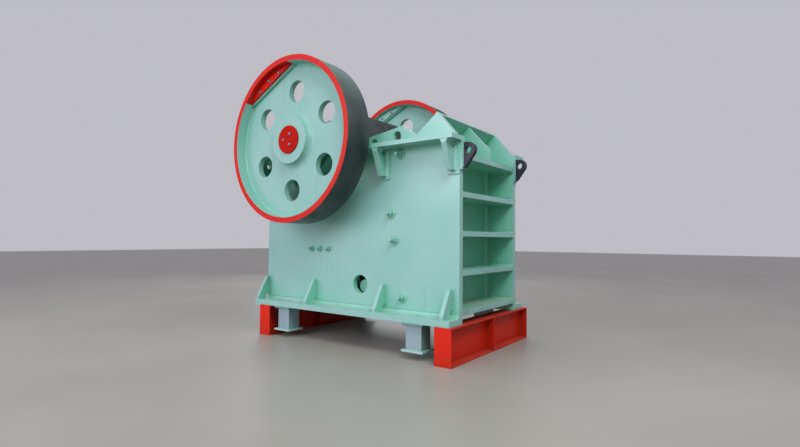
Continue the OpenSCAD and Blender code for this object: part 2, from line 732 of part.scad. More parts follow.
module disc_stack() rotate_extrude() polygon(concat(
    [for (i = [0 : disc_n]) [rod_d / 2 + 1.5, i * (disc_t + disc_cone) + (i % 2 == 0 ? 0 : disc_cone) * (i == disc_n ? 0 : 1)]],
    [for (i = [disc_n : -1 : 0]) [disc_d / 2, i * (disc_t + disc_cone) + (i % 2 == 0 ? 0 : 0)]]));

module disc_springs() color(steel) place() for (side = [-1, 1])
    translate([rod_pin[0], side * rod_spacing / 2, rod_pin[1]]) rotate([0, -90 + rod_tilt, 0])
        translate([0, 0, rod_wall_run + washer_in]) disc_stack();

module eccentric_shaft() color(steel) place() {
    for (side = [-1, 1]) scale([1, side, 1]) {
        bar_y([shaft_x, shaft_z], journal_d / 2, jaw_half_w, housing_end + seal_l);
        bar_y([shaft_x, shaft_z], hub_bore_d / 2 - seat_gap / 2, housing_end + seal_l - 1, hub_end);
    }
    bar_y([shaft_x + rest_shift[0], shaft_z + rest_shift[2]], eccentric_d / 2, -jaw_half_w, jaw_half_w);
}

// Half section of a flywheel as radius and distance from its middle plane
module wheel_section(grooved) difference() {
    union() {
        translate([rim_in_r, -wheel_w / 2]) square([rim_t, wheel_w]);
        translate([hub_bore_d / 2, -web_t / 2]) square([rim_in_r + 1 - hub_bore_d / 2, web_t]);
        translate([hub_bore_d / 2, -hub_l / 2]) square([hub_r - hub_bore_d / 2, hub_l]);
        for (side = [-1, 1]) scale([1, side]) difference() {
            translate([hub_r - 1, web_t / 2 - 1]) square([hub_fillet + 1, hub_fillet + 1]);
            translate([hub_r + hub_fillet, web_t / 2 + hub_fillet]) circle(r = hub_fillet);
        }
        for (side = [-1, 1]) scale([1, side]) difference() {
            translate([rim_in_r - rim_fillet, web_t / 2 - 1]) square([rim_fillet + 1, rim_fillet + 1]);
            translate([rim_in_r - rim_fillet, web_t / 2 + rim_fillet]) circle(r = rim_fillet);
        }
    }
    if (grooved) for (i = [0 : groove_n - 1]) translate([wheel_r, (i - (groove_n - 1) / 2) * groove_pitch])
        polygon([[1, -groove_pitch * 0.39], [-groove_h, -groove_pitch * 0.16],
                 [-groove_h, groove_pitch * 0.16], [1, groove_pitch * 0.39]]);
}

// Depth of the counterweights' seat in the rim
weight_seat = 3;

module at_angle(a, r) rotate([0, -a, 0]) translate([r, 0, 0]) children();

// Segment of the rim's inside beyond a chord, between two distances from the middle plane
module segment(chord, r, y0, y1) intersection() {
    bar_y([0, 0], r, y0, y1, $fn = 360);
    rotate([0, -weight_angle, 0]) translate([chord, y0 - 1, -r]) cube([r, y1 - y0 + 2, 2 * r]);
}

module flywheel(side, grooved) color(mint) place() translate([shaft_x, side * wheel_mid, shaft_z]) {
    difference() {
        rotate([-90, 0, 0]) rotate_extrude($fn = 180) wheel_section(grooved);
        for (i = [0 : hole_n - 1]) at_angle(hole_start + i * 360 / hole_n, hole_circle_r)
            bar_y([0, 0], hole_d / 2, -web_t, web_t);
        for (face = [-1, 1]) scale([1, face, 1])
            segment(weight_chord, rim_in_r + weight_seat, web_t / 2, web_t / 2 + weight_t);
    }
    for (face = [-1, 1]) scale([1, face, 1]) difference() {
        segment(weight_chord - chord_rib_t, rim_in_r + 1, web_t / 2 - 1, web_t / 2 + chord_rib_h);
        segment(weight_chord, rim_in_r + 2, web_t / 2 - 2, web_t / 2 + chord_rib_h + 1);
    }
}

module counterweights(side) color(signal_red) place() translate([shaft_x, side * wheel_mid, shaft_z])
    for (face = [-1, 1]) scale([1, face, 1])
        segment(weight_chord + seat_gap, rim_in_r + weight_seat - seat_gap, web_t / 2, web_t / 2 + weight_t);

module end_cap(side) color(signal_red) place() scale([1, side, 1])
    bar_y([shaft_x, shaft_z], cap_r, hub_end, hub_end + cap_t);

// Frame of the moving jaw plate: x is ahead of its face, z runs up the face
module on_face() translate([face_low[0], 0, face_low[1]]) rotate([0, -face_tilt, 0]) children();

// The webs' rear edge leaves the head along a tangent of a slightly smaller circle
head_tangent_r = head_r - 15;
head_vec = [shaft_x, shaft_z] - [boss_x, toggle_front[1] + boss_half_h];
head_tangent_angle = atan2(-head_vec[1], -head_vec[0]) - acos(head_tangent_r / norm(head_vec));
head_tangent = [shaft_x, shaft_z] + head_tangent_r * [cos(head_tangent_angle), sin(head_tangent_angle)];
slab_back = jaw_plate_t + jaw_slab_t - 10;
web_front_top = face_point(face_l, slab_back);
web_front_low = face_point(20, slab_back);
web_inset = 6;
web_half_w = jaw_half_w - web_inset;
web_pitch = (2 * web_half_w - jaw_web_t) / (jaw_web_n - 1);
guard_low = face_l - guard_lap;
guard_top = guard_low + guard_h - 40;
slab_into_head = 200;

module jaw_web_outline() {
    polygon([head_tangent, [shaft_x, shaft_z], web_front_top, web_front_low,
             [boss_x, toggle_front[1] - boss_half_h], [boss_x, toggle_front[1] + boss_half_h]]);
    polygon([face_point(face_l + 5, 0), face_point(guard_top, 0), face_point(guard_top, 60),
             [shaft_x - 0.9 * head_r * sin(face_tilt), shaft_z + 0.9 * head_r * cos(face_tilt)], [shaft_x, shaft_z],
             face_point(face_l + 5, slab_back)]);
}

module boss_outline() polygon([
    [boss_x, toggle_front[1] - boss_half_h], [boss_x, toggle_front[1] + boss_half_h],
    face_point(420, slab_back), face_point(60, slab_back)]);

module swing_jaw() color(mint) place() translate(rest_shift) difference() {
    union() {
        on_face() {
            translate([-jaw_plate_t - jaw_slab_t, -jaw_half_w, -40])
                cube([jaw_slab_t, 2 * jaw_half_w, face_l + slab_into_head + 40]);
            translate([-jaw_plate_t - 1, -jaw_half_w, -40]) cube([60, 2 * jaw_half_w, 40]);
        }
        bar_y([shaft_x, shaft_z], head_r, -jaw_half_w, jaw_half_w);
        for (i = [0 : jaw_web_n - 1]) slab_y(-web_half_w + i * web_pitch, jaw_web_t) jaw_web_outline();
        slab_y(-web_half_w + 1, 2 * web_half_w - 2) boss_outline();
        for (side = [-1, 1]) rod_lug(side);
    }
    bar_y([shaft_x, shaft_z], eccentric_d / 2 + jaw_bore_gap, -jaw_half_w - 1, jaw_half_w + 1);
    bar_y(toggle_front, toggle_r + toggle_gap, -jaw_half_w - 2, jaw_half_w + 2);
}

module rod_lug(side) {
    slab_y(side * rod_spacing / 2 - 90, 50) rod_lug_outline();
    slab_y(side * rod_spacing / 2 + 40, 50) rod_lug_outline();
    bar_y(rod_pin, rod_pin_d / 2, side * rod_spacing / 2 - 90, side * rod_spacing / 2 + 90);
}

module rod_lug_outline() union() {
    translate(rod_pin) circle(r = rod_pin_d / 2 + 35);
    polygon([rod_pin + [-80, 0], rod_pin + [80, 0], face_point(60, slab_back),
             [boss_x + 30, toggle_front[1] - boss_half_h + 40]]);
}

module moving_jaw_plate() color(manganese) place() translate(rest_shift) on_face()
    ridged_plate(jaw_half_w, ridge_n - 1, face_l);

module jaw_guard() color(charcoal) place() translate(rest_shift) on_face()
    translate([0, -jaw_half_w, guard_low]) cube([guard_t, 2 * jaw_half_w, guard_h]);

support_beam(beam_front_out - beam_w);  // front_beam
support_beam(beam_rear_in - frame_l);  // rear_beam
foot(foot_front_back, -1);  // foot_front_left
foot(foot_front_back, 1);  // foot_front_right
foot(foot_rear_back, -1);  // foot_rear_left
foot(foot_rear_back, 1);  // foot_rear_right
side_plate();  // side_plate_left
right() side_plate();  // side_plate_right
base_flange();  // base_flange_left
right() base_flange();  // base_flange_right
bearing_flange();  // bearing_flange_left
right() bearing_flange();  // bearing_flange_right
lifting_lug();  // lifting_lug_left
right() lifting_lug();  // lifting_lug_right
front_wall();
front_rib(1);  // front_rib_1
front_rib(2);  // front_rib_2
front_rib(3);  // front_rib_3
front_rib(4);  // front_rib_4
front_rib(5);  // front_rib_5
feed_lip();
feed_lip_gusset();
rear_wall();
rear_ribs();
fixed_jaw_plate();
cheek_plates();  // cheek_plates_left
right() cheek_plates();  // cheek_plates_right
toggle_beam();
toggle_seat();
toggle_plate();
tension_rods();
disc_springs();
bearing_housing();  // bearing_housing_left
right() bearing_housing();  // bearing_housing_right
eccentric_shaft();
flywheel(-1, false);  // flywheel_left
flywheel(1, true);  // flywheel_right
counterweights(-1);  // counterweights_left
counterweights(1);  // counterweights_right
end_cap(-1);  // end_cap_left
end_cap(1);  // end_cap_right
swing_jaw();
moving_jaw_plate();
jaw_guard();
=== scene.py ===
"""Looks of the single-toggle jaw crusher: paints, weld beads, bolts, studio light and the photo's camera.

Sizes and places of the pieces are in millimetres. x = 0 is the frame's front plane and runs backwards below
zero, y = 0 is the centre plane with +y on the right, and z = 0 is the floor. Shaders and the studio are in
metres.
"""

import math
import random

import bpy
from mathutils import Matrix, Vector


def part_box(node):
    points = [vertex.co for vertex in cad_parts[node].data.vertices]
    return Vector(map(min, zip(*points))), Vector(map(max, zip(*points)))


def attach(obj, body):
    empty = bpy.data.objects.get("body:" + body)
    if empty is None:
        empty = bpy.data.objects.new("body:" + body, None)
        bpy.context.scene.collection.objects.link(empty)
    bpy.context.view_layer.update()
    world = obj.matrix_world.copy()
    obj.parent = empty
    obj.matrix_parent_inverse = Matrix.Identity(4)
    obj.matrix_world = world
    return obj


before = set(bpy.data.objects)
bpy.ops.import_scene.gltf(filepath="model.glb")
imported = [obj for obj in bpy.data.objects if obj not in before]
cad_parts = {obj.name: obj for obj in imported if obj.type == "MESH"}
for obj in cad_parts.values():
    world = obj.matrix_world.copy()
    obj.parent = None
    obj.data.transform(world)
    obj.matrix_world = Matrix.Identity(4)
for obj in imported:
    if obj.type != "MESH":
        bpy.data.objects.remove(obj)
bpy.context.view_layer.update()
random.seed(7)

MM = 0.001
FRONT_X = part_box("front_rib_1")[1].x
SIDES = {"left": -1, "right": 1}
X, Y, Z = Vector((1, 0, 0)), Vector((0, 1, 0)), Vector((0, 0, 1))


# Places read from the CAD nodes


def span(node, axis):
    """Low and high end of a node along the axis x, y or z."""
    zero = FRONT_X if axis == "x" else 0.0
    return [round((getattr(corner, axis) - zero) / MM, 1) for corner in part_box(node)]


def middle(node, axis):
    """The place halfway between a node's ends."""
    return sum(span(node, axis)) / 2


REAR_X, NOSE_X = span("side_plate_right", "x")
INNER_Y, OUTER_Y = span("side_plate_right", "y")
CHEEK_FACE_Y = span("cheek_plates_right", "y")[0]
JAW_SIDE_Y = span("swing_jaw", "y")[1]
PAD_LOW_Z, SHOULDER_Z = span("bearing_flange_right", "z")
BASE_LOW_Z, GUSSET_TOP_Z = span("base_flange_right", "z")
# The bearing housings end flush with the flanges that they stand on
HOUSING_FACE_Y = span("bearing_flange_right", "y")[1]
RIB_BACK_X = span("front_rib_1", "x")[0]
LIP_GUSSET_Y = span("feed_lip_gusset", "y")[1]
LUG_IN_Y, LUG_OUT_Y = span("lifting_lug_right", "y")
LUG_LOW_Z, LUG_TOP_Z = span("lifting_lug_right", "z")
FOOT_XS = [middle("foot_front_right", "x"), middle("foot_rear_right", "x")]
FOOT_Y = middle("foot_front_right", "y")
FOOT_LOW_Z, FOOT_TOP_Z = span("foot_front_right", "z")
BEAM_XS = [span("front_beam", "x")[0], span("rear_beam", "x")[0]]
BEAM_LEFT_Y, BEAM_RIGHT_Y = span("front_beam", "y")
BEAM_LOW_Z, BEAM_TOP_Z = span("front_beam", "z")
SHAFT_X, SHAFT_Z = middle("flywheel_right", "x"), middle("flywheel_right", "z")
WHEEL_MID_Y = middle("flywheel_right", "y")
WHEEL_HALF_W = span("flywheel_right", "y")[1] - WHEEL_MID_Y
WHEEL_R = span("flywheel_right", "z")[1] - SHAFT_Z
WEIGHT_HALF_W = span("counterweights_right", "y")[1] - WHEEL_MID_Y
CAP_FACE_Y = span("end_cap_right", "y")[1]

# Sizes that the CAD has too
FLANGE_T, BASE_T, RIB_T = 60, 80, 70
FLANGE_UNDER_Z = SHOULDER_Z - FLANGE_T
BASE_TOP_Z = BASE_LOW_Z + BASE_T
RIB_TOPS = [middle(f"front_rib_{number}", "z") + RIB_T / 2 for number in range(1, 6)]
FOOT_W, FOOT_D = 245, 215
FOOT_PLATE_T = 25
RIM_T = 78
WEIGHT_CHORD = 1014
WEIGHT_ANGLE = 117

# The moving plate's face on the swing jaw, and what the eccentric shifts the jaw by
FACE_LOW_X, FACE_LOW_Z = -855, 760
FACE_RUN, FACE_RISE = 990, 2120
FACE_TILT = math.atan2(FACE_RUN, FACE_RISE)
THROW = 22
THROW_ANGLE = math.radians(-63)
JAW_SHIFT_X, JAW_SHIFT_Z = THROW * math.cos(THROW_ANGLE), THROW * math.sin(THROW_ANGLE)


def point(x, y, z):
    """A place in millimetres as a vector in the shared frame, in metres."""
    return Vector((x * MM + FRONT_X, y * MM, z * MM))


def jaw_point(up, out, y):
    """A place on the swing jaw, up along the moving plate's face and out in front of it."""
    x = FACE_LOW_X - up * math.sin(FACE_TILT) + out * math.cos(FACE_TILT) + JAW_SHIFT_X
    z = FACE_LOW_Z + up * math.cos(FACE_TILT) + out * math.sin(FACE_TILT) + JAW_SHIFT_Z
    return point(x, y, z)


def shaft_point(radius, angle, y):
    """A place at a radius and an angle in degrees round the shaft."""
    turn = math.radians(angle)
    return point(SHAFT_X + radius * math.cos(turn), y, SHAFT_Z + radius * math.sin(turn))


# Meshes


class Shape:
    """Collects simple solids into one mesh."""

    def __init__(self):
        self.verts = []
        self.faces = []
        self.smooth = []

    def add(self, verts, faces, smooth):
        """Takes in one more solid."""
        base = len(self.verts)
        self.verts.extend(verts)
        self.faces.extend([tuple(index + base for index in face) for face in faces])
        self.smooth.extend([smooth] * len(faces))

    def make(self, name, body, material):
        """Makes the object, which rides on a body."""
        mesh = bpy.data.meshes.new(name)
        mesh.from_pydata([tuple(vert) for vert in self.verts], [], self.faces)
        mesh.polygons.foreach_set("use_smooth", self.smooth)
        mesh.materials.append(material)
        mesh.update()
        obj = bpy.data.objects.new(name, mesh)
        bpy.context.scene.collection.objects.link(obj)
        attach(obj, body)


def basis(axis, angle):
    """An axis of length one and two directions across it, turned about it by an angle in degrees."""
    axis = Vector(axis).normalized()
    helper = Z if abs(axis.z) < 0.9 else X
    first = axis.cross(helper).normalized()
    second = axis.cross(first)
    c, s = math.cos(math.radians(angle)), math.sin(math.radians(angle))
    return axis, first * c + second * s, second * c - first * s


def lathe(shape, origin, axis, profile, seg, angle=0.0, smooth=True):
    """A solid of revolution. The profile lists (radius, height) in millimetres, from one end to the other."""
    axis, first, second = basis(axis, angle)
    verts, faces = [], []
    for radius, height in profile:
        for i in range(seg):
            turn = 2 * math.pi * i / seg
            spoke = first * math.cos(turn) + second * math.sin(turn)
            verts.append(origin + axis * height * MM + spoke * radius * MM)
    for j in range(len(profile) - 1):
        for i in range(seg):
            k = (i + 1) % seg
            faces.append((j * seg + i, j * seg + k, (j + 1) * seg + k, (j + 1) * seg + i))
    faces.append(tuple(range(seg))[::-1])
    last = (len(profile) - 1) * seg
    faces.append(tuple(last + i for i in range(seg)))
    shape.add(verts, faces, smooth)


# Proportions of nuts, heads and washers to the thread size
NUT_ACROSS = 1.52
NUT_H = 0.8
HEAD_H = 0.65
WASHER_T = 0.16
THREAD_PITCH = 5.0


def nut(shape, origin, axis, size, height):
    """A hexagon for a thread size, chamfered at both ends and turned at random."""
    across = size * NUT_ACROSS
    corner = across / math.sqrt(3)
    chamfer = across * 0.06
    profile = [(across * 0.47, 0), (corner * 0.97, chamfer * 0.6), (corner, chamfer),
               (corner, height - chamfer), (corner * 0.95, height - chamfer * 0.4), (across * 0.46, height)]
    lathe(shape, origin, axis, profile, seg=6, angle=random.uniform(0, 60), smooth=False)


def washer(shape, origin, axis, across, thick):
    """A washer with a bevelled rim. Gives back the place on top of it."""
    radius = across / 2
    profile = [(radius, 0), (radius, thick * 0.7), (radius - thick * 0.3, thick)]
    lathe(shape, origin, axis, profile, seg=32, smooth=False)
    return origin + Vector(axis) * thick * MM


def stud(shape, origin, axis, size, length):
    """The threaded end of a stud, with a chamfered tip."""
    radius = size / 2
    profile = []
    height = 0.0
    while height < length - THREAD_PITCH:
        profile += [(radius, height), (radius * 0.93, height + THREAD_PITCH / 2)]
        height += THREAD_PITCH
    profile += [(radius, height), (radius * 0.8, length)]
    lathe(shape, origin, axis, profile, seg=20)


def fastener(shape, origin, axis, size, plate, reach, thick=None):
    """A washer, a nut of the usual proportions for a thread size, and the stud's end beyond it."""
    base = washer(shape, origin, axis, plate, thick or size * WASHER_T)
    height = size * NUT_H
    nut(shape, base, axis, size, height)
    stud(shape, base + Vector(axis) * height * MM, axis, size, reach)


def bolt_head(shape, origin, axis, size, plate=None):
    """A hexagon head without a stud's end, on a washer where a plate size is given."""
    base = washer(shape, origin, axis, plate, size * WASHER_T) if plate else origin
    nut(shape, base, axis, size, size * HEAD_H)


# Form of a weld bead: its steps and tapering ends in millimetres, its ripples as shares of its size
RIPPLE_STEP = 5.5
TAPER_LENGTH = 15
END_SIZE = 0.35
RIPPLE = 0.10
WAVE = 0.05
WAVE_RATE = 0.37
UNEVEN = 0.03
BULGE = 0.22
ROOT = 0.15
ARC_POINTS = 5


def weld(shape, start, end, u, v, size):
    """A rippled fillet weld from start to end, in the corner between directions u and v."""
    run = end - start
    length = run.length / MM
    steps = max(6, int(length / RIPPLE_STEP))
    ring = ARC_POINTS + 1
    verts, faces = [], []
    drift = random.uniform(0, 6.28)
    for i in range(steps + 1):
        t = i / steps
        swell = 1 + RIPPLE * (i % 2) + WAVE * math.sin(i * WAVE_RATE + drift)
        swell += random.uniform(-UNEVEN, UNEVEN)
        taper = min(1.0, END_SIZE + min(t, 1 - t) * length / TAPER_LENGTH)
        radius = size * swell * taper * MM
        centre = start + run * t
        for k in range(ARC_POINTS):
            w = k / (ARC_POINTS - 1)
            bulge = 1 + BULGE * math.sin(math.pi * w)
            verts.append(centre + (u * (1 - w) + v * w) * radius * bulge)
        verts.append(centre - (u + v) * radius * ROOT)
    for i in range(steps):
        for k in range(ring):
            n = (k + 1) % ring
            faces.append((i * ring + k, i * ring + n, (i + 1) * ring + n, (i + 1) * ring + k))
    faces.append(tuple(range(ring)))
    faces.append(tuple(steps * ring + k for k in range(ring))[::-1])
    shape.add(verts, faces, True)


# Shader building

NODE_SAMPLES = 4


def linear(red, green, blue):
    """An sRGB colour of 0 to 255 as linear numbers with alpha."""
    def one(level):
        level /= 255
        return level / 12.92 if level <= 0.04045 else ((level + 0.055) / 1.055) ** 2.4
    return (one(red), one(green), one(blue), 1.0)


class Tree:
    """Short calls for the nodes of a material or a world. Each takes plain values or other nodes' sockets."""

    def __init__(self, owner):
        owner.use_nodes = True
        self.owner = owner
        self.nodes = owner.node_tree.nodes
        self.links = owner.node_tree.links

    def add(self, kind, inputs, **settings):
        """A new node of a kind, with its settings and inputs. Gives back its outputs."""
        node = self.nodes.new("ShaderNode" + kind)
        for name, value in settings.items():
            setattr(node, name, value)
        for key, value in inputs.items():
            if isinstance(value, bpy.types.NodeSocket):
                self.links.new(value, node.inputs[key])
            else:
                node.inputs[key].default_value = value
        return node.outputs

    def math(self, operation, first, second=0.0, clamp=False):
        return self.add("Math", {0: first, 1: second}, operation=operation, use_clamp=clamp)[0]

    def times(self, first, second):
        return self.math("MULTIPLY", first, second)

    def vector(self, operation, first, second=(0, 0, 0)):
        outputs = self.add("VectorMath", {0: first, 1: second}, operation=operation)
        return outputs["Value" if operation in ("LENGTH", "DOT_PRODUCT") else "Vector"]

    def part(self, vector, axis):
        """The size of a vector along the axis X, Y or Z."""
        return self.add("SeparateXYZ", {0: vector})[axis]


class Paint(Tree):
    """Short calls for the nodes of one new material."""

    def __init__(self, name):
        super().__init__(bpy.data.materials.new(name))
        self.nodes.clear()
        self.out = self.nodes.new("ShaderNodeOutputMaterial")
        self.place = self.add("TexCoord", {})["Object"]
        geometry = self.add("NewGeometry", {})
        self.normal = geometry["Normal"]
        self.true_normal = geometry["True Normal"]

    def mix(self, factor, first, second):
        """The first colour at factor 0, the second at 1. The node's colour inputs are its numbers 6 and 7."""
        return self.add("Mix", {0: factor, 6: first, 7: second}, data_type="RGBA")[2]

    def ramp(self, value, low, high):
        """0 at low, 1 at high, straight between them."""
        return self.add("MapRange", {"Value": value, "From Min": low, "From Max": high})[0]

    def noise(self, scale, detail, rough=0.55, stretch=None):
        place = self.vector("MULTIPLY", self.place, stretch) if stretch else self.place
        inputs = {"Vector": place, "Scale": scale, "Detail": detail, "Roughness": rough}
        return self.add("TexNoise", inputs)[0]

    def patches(self, scale, detail, low, high, **finer):
        """Noise that is 0 below low and 1 above high."""
        return self.ramp(self.noise(scale, detail, **finer), low, high)

    def above(self, value, limit):
        return self.math("GREATER_THAN", value, limit)

    def below(self, value, limit):
        return self.math("LESS_THAN", value, limit)

    def bevel(self, radius):
        """The normal with edges rounded by a radius in metres."""
        return self.add("Bevel", {"Radius": radius}, samples=NODE_SAMPLES)[0]

    def enclosed(self, distance, low, high):
        """How much other surfaces close a place in, within a distance in metres."""
        open_share = self.add("AmbientOcclusion", {"Distance": distance}, samples=NODE_SAMPLES)["AO"]
        return self.ramp(open_share, low, high)

    def bump(self, height, strength, distance, normal):
        inputs = {"Height": height, "Strength": strength, "Distance": distance, "Normal": normal}
        return self.add("Bump", inputs)[0]

    def finish(self, colour, rough, metal, normal, coat=0.0, coat_rough=0.1, specular=0.5):
        """Closes the material with its surface shader."""
        surface = self.add("BsdfPrincipled", {
            "Base Color": colour, "Roughness": rough, "Metallic": metal, "Normal": normal,
            "Specular IOR Level": specular, "Coat Weight": coat, "Coat Roughness": coat_rough})
        self.links.new(surface[0], self.out.inputs[0])
        return self.owner


DUST = linear(196, 190, 176)
# Dirt colour, also used for painted shade in corners and hollows
GRIME_AND_SHADE = linear(52, 50, 42)
DAMP = linear(20, 34, 30)
BARE = linear(120, 112, 104)
PALE = linear(225, 235, 238)
PALE_RED = linear(235, 62, 40)
MINT = linear(130, 181, 174)
# A little darker than the frame's mint, as painted shade on the bolts
SHADED_BOLT_MINT = linear(122, 178, 166)
WHEEL_MINT = linear(130, 175, 169)
RED = linear(192, 12, 3)
CAP_RED = linear(164, 6, 1)
ORANGE_RED = linear(206, 30, 8)
CHARCOAL = linear(24, 36, 37)
# Painted reflection of a bright roof on top of the wheels' running surface
RIM_PAINTED_REFLECTION = linear(90, 113, 109)
FOOT_BLUE = linear(134, 152, 166)
FOOT_PALE = linear(164, 188, 196)
SLATE = linear(28, 34, 48)
PALE_SLATE = linear(96, 94, 112)
GUARD_GREY = linear(27, 36, 40)


# Layers of the machine paint, painted shade among them, each over a shade


def painted_bounce_shade(paint, shade):
    """Painted shade: deep recesses turn darker and greener, like light bounced between green walls."""
    deep = paint.vector("MULTIPLY", shade, (0.52, 1.10, 0.78))
    return paint.mix(paint.times(paint.enclosed(0.55, low=0.80, high=0.30), 0.85), shade, deep)


def streaked(paint, shade, colour):
    """Upright runs of damp."""
    runs = paint.patches(scale=9.0, detail=5.0, low=0.56, high=0.80, stretch=(1.0, 1.0, 0.12))
    return paint.mix(paint.times(runs, 0.22), shade, paint.mix(0.45, colour, DAMP))


def soiled_and_shaded(paint, shade, grime_and_shade):
    """Spots of dirt and painted shade in corners, where other surfaces close in."""
    corner = paint.enclosed(0.07, low=0.95, high=0.35)
    spots = paint.patches(scale=6.0, detail=7.0, low=0.42, high=0.75, rough=0.7)
    return paint.mix(paint.times(paint.times(corner, spots), grime_and_shade), shade, GRIME_AND_SHADE)


def chipped(paint, shade, edge_normal, chips):
    """Bare metal in patches along sharp edges."""
    sharp = paint.ramp(paint.vector("DOT_PRODUCT", edge_normal, paint.normal), low=0.995, high=0.90)
    worn = paint.patches(scale=24.0, detail=8.0, low=0.50, high=0.60, rough=0.75)
    return paint.mix(paint.times(paint.times(sharp, worn), chips), shade, BARE)


def enamel(paint, colour, rough=0.28, dust=0.30, grime_and_shade=0.35, chips=0.0, edge=0.004, coat=0.25,
           pale=PALE, specular=0.5):
    """Machine paint: pale mottling, runs, dirt and painted shade in corners and recesses, dust on tops, worn
    edges.
    """
    cloud = paint.patches(scale=1.3, detail=5.0, low=0.30, high=0.72)
    shade = paint.mix(cloud, colour, paint.mix(0.10, colour, pale))
    # Painted shade in recesses, darker and greener
    shade = painted_bounce_shade(paint, shade)
    shade = streaked(paint, shade, colour)
    # Spots of dirt with painted shade in corners
    shade = soiled_and_shaded(paint, shade, grime_and_shade)
    upward = paint.ramp(paint.part(paint.normal, "Z"), low=0.55, high=0.95)
    lying = paint.times(upward, paint.patches(scale=3.1, detail=8.0, low=0.30, high=0.72, rough=0.68))
    shade = paint.mix(paint.times(lying, dust), shade, DUST)
    specks = paint.patches(scale=160.0, detail=3.0, low=0.66, high=0.72)
    shade = paint.mix(paint.times(specks, 0.10), shade, DUST)
    edge_normal = paint.bevel(edge)
    if chips:
        shade = chipped(paint, shade, edge_normal, chips)
    dull = paint.patches(scale=4.0, detail=6.0, low=0.3, high=0.75)
    rough = paint.math("ADD", rough, paint.times(dull, 0.16))
    rough = paint.math("ADD", rough, paint.times(lying, 0.35), clamp=True)
    grain, waves = paint.noise(scale=260.0, detail=2.0), paint.noise(scale=38.0, detail=6.0)
    skin = paint.bump(grain, strength=0.10, distance=0.0006, normal=edge_normal)
    skin = paint.bump(waves, strength=0.12, distance=0.0015, normal=skin)
    return paint.finish(shade, rough, 0.0, skin, coat, coat_rough=0.12, specular=specular)


# Materials


def wheel_paint(name):
    """Mint wheels, red rim faces and pockets, and a charcoal running surface paler on top by painted
    reflection.
    """
    paint = Paint(name)
    from_shaft = paint.vector("SUBTRACT", paint.place, tuple(point(SHAFT_X, 0, SHAFT_Z)))
    across = paint.vector("MULTIPLY", from_shaft, (1, 0, 1))
    radius = paint.vector("LENGTH", across)
    side = paint.math("ABSOLUTE", paint.part(paint.place, "Y"))
    facing = paint.math("ABSOLUTE", paint.part(paint.true_normal, "Y"))
    beside = paint.math("ABSOLUTE", paint.math("SUBTRACT", side, WHEEL_MID_Y * MM))
    rim_in_r = WHEEL_R - RIM_T
    ring = paint.times(paint.above(facing, 0.5), paint.above(radius, (rim_in_r - 2) * MM))
    ring = paint.times(ring, paint.above(beside, (WHEEL_HALF_W - 5) * MM))
    turn = math.radians(WEIGHT_ANGLE)
    depth = paint.vector("DOT_PRODUCT", across, (math.cos(turn), 0, math.sin(turn)))
    beyond_chord = paint.above(depth, (WEIGHT_CHORD - 0.5) * MM)
    pocket = paint.times(beyond_chord, paint.below(radius, (rim_in_r + 4.5) * MM))
    pocket = paint.times(pocket, paint.above(side, WHEEL_MID_Y * MM))
    colour = paint.mix(ring, paint.mix(pocket, WHEEL_MINT, RED), RED)
    outer = paint.times(paint.above(radius, (WHEEL_R - 35) * MM), paint.math("SUBTRACT", 1.0, ring))
    # Painted reflection: the running surface turns paler where it faces up
    painted_reflection = paint.ramp(paint.part(paint.normal, "Z"), low=0.35, high=0.80)
    colour = paint.mix(outer, colour, paint.mix(painted_reflection, CHARCOAL, RIM_PAINTED_REFLECTION))
    pale = paint.mix(paint.math("MAXIMUM", ring, pocket), PALE, PALE_RED)
    return enamel(paint, colour, rough=0.30, dust=0.08, grime_and_shade=0.30, coat=0.05, pale=pale, specular=0.26)


def weight_paint(name):
    """Counterweights: red on the wheels' outer faces, mint on the inner ones."""
    paint = Paint(name)
    side = paint.math("ABSOLUTE", paint.part(paint.place, "Y"))
    outer = paint.above(side, WHEEL_MID_Y * MM)
    colour = paint.mix(outer, WHEEL_MINT, RED)
    pale = paint.mix(outer, PALE, PALE_RED)
    return enamel(paint, colour, dust=0.05, edge=0.003, coat=0.03, pale=pale, specular=0.22)


def foot_paint(name):
    """Blue-grey feet with a mint top plate and a paler foot plate."""
    paint = Paint(name)
    height = paint.part(paint.place, "Z")
    foot_plate = paint.below(height, (FOOT_LOW_Z + FOOT_PLATE_T + 0.1) * MM)
    top_plate = paint.above(height, (FOOT_TOP_Z - FOOT_PLATE_T - 0.1) * MM)
    colour = paint.mix(top_plate, paint.mix(foot_plate, FOOT_BLUE, FOOT_PALE), MINT)
    return enamel(paint, colour, rough=0.34, dust=0.35, grime_and_shade=0.45, chips=0.5)


def rib_paint(name):
    """Mint ribs with brown stains, and trodden dirt on the lowest one."""
    paint = Paint(name)
    lowest = paint.below(paint.part(paint.place, "Z"), 0.75)
    stain = paint.patches(scale=5.0, detail=9.0, low=0.50, high=0.72, rough=0.72, stretch=(1.0, 0.5, 1.0))
    dirt = paint.math("ADD", 0.22, paint.times(lowest, 0.33))
    dust = paint.math("ADD", 0.14, paint.times(lowest, 0.6))
    colour = paint.mix(paint.times(stain, dirt), MINT, GRIME_AND_SHADE)
    return enamel(paint, colour, dust=dust, grime_and_shade=0.6, chips=0.25)


def casting(name):
    """Bare manganese casting: sand texture, brown bloom and painted shade that darkens the hollows."""
    paint = Paint(name)
    sand = paint.noise(scale=120.0, detail=8.0, rough=0.7)
    bloom = paint.patches(scale=2.6, detail=7.0, low=0.38, high=0.72, rough=0.65)
    shade = paint.mix(paint.times(bloom, 0.55), linear(92, 88, 84), linear(96, 74, 58))
    # Painted shade: the hollows turn darker where other surfaces close in
    shade = paint.mix(paint.times(paint.enclosed(0.08, low=0.9, high=0.3), 0.5), shade, GRIME_AND_SHADE)
    shade = paint.mix(paint.times(paint.ramp(sand, low=0.5, high=0.7), 0.25), shade, linear(150, 142, 132))
    rough = paint.math("ADD", 0.55, paint.times(bloom, 0.2))
    skin = paint.bump(sand, strength=0.35, distance=0.002, normal=paint.bevel(0.006))
    skin = paint.bump(paint.noise(scale=11.0, detail=3.0), strength=0.2, distance=0.004, normal=skin)
    return paint.finish(shade, rough, 0.65, skin)


